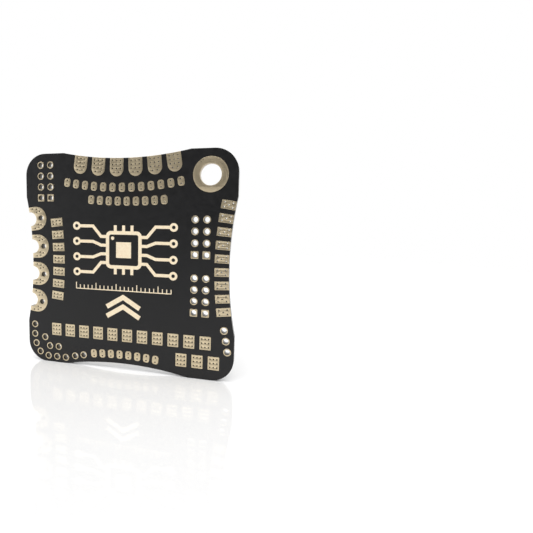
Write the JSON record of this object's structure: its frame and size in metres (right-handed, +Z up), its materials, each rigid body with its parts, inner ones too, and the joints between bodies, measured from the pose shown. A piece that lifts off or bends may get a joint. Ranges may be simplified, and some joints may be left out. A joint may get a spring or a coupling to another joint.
{
  "type": "soldering practice circuit board",
  "caption": "Bare black soldering-practice board in the flight-controller format: waisted square outline, gold edge, wire and signal pads, header holes and one mounting hole.",
  "frame": {"origin": "under the middle of the board: centre of the bounding box in X and Y, lowest edge at Z = 0", "axes": "+Z up the board from its lower edge, +X to the right when the front face is seen, +Y through the board from the front face to the back"},
  "size_m": [0.05, 0.0016, 0.05],
  "materials": {
    "core": "routed glass-fibre laminate edge",
    "mask": "black solder mask, semi-gloss",
    "gold": "pale immersion gold over copper, satin",
    "legend": "cream legend ink, matt"
  },
  "bodies": {
    "root": {"substrate_core": "core", "solder_mask_front": "mask", "solder_mask_back": "mask", "mounting_hole_plating": "gold", "top_tongue_pads": "gold", "upper_signal_pads": "gold", "lower_signal_pads": "gold", "bottom_signal_pads": "gold", "half_moon_pads": "gold", "left_block_pads": "gold", "right_edge_pads": "gold", "wire_pads": "gold", "corner_wire_pads": "gold", "header_a_plating": "gold", "header_b_plating": "gold", "header_c_plating": "gold", "left_chain_plating": "gold", "right_chain_plating": "gold", "legend_chip": "legend", "legend_scale": "legend", "legend_chevrons": "legend"}
  },
  "joints": []
}
